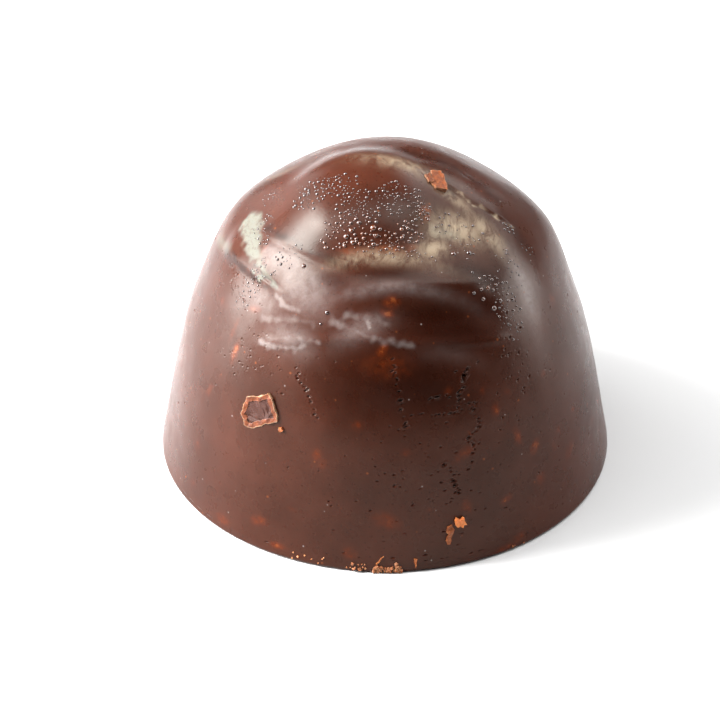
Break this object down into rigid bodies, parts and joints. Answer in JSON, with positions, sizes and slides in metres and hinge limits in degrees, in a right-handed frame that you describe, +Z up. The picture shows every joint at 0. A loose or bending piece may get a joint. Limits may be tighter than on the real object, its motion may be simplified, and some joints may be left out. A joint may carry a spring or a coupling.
{
  "type": "chocolate praline",
  "caption": "Moulded chocolate praline with a flat base, tapering wall and a swirled, rounded crown with chopped nut showing; one bite-sized sweet.",
  "frame": {"origin": "middle of the flat base, on the surface it stands on", "axes": "+Z up through the crown, -Y towards the front that the picture shows"},
  "size_m": [0.0302, 0.0303, 0.0225],
  "materials": {
    "chocolate": "satin dark milk chocolate with a light bloom"
  },
  "bodies": {
    "root": {"praline": "chocolate"}
  },
  "joints": []
}
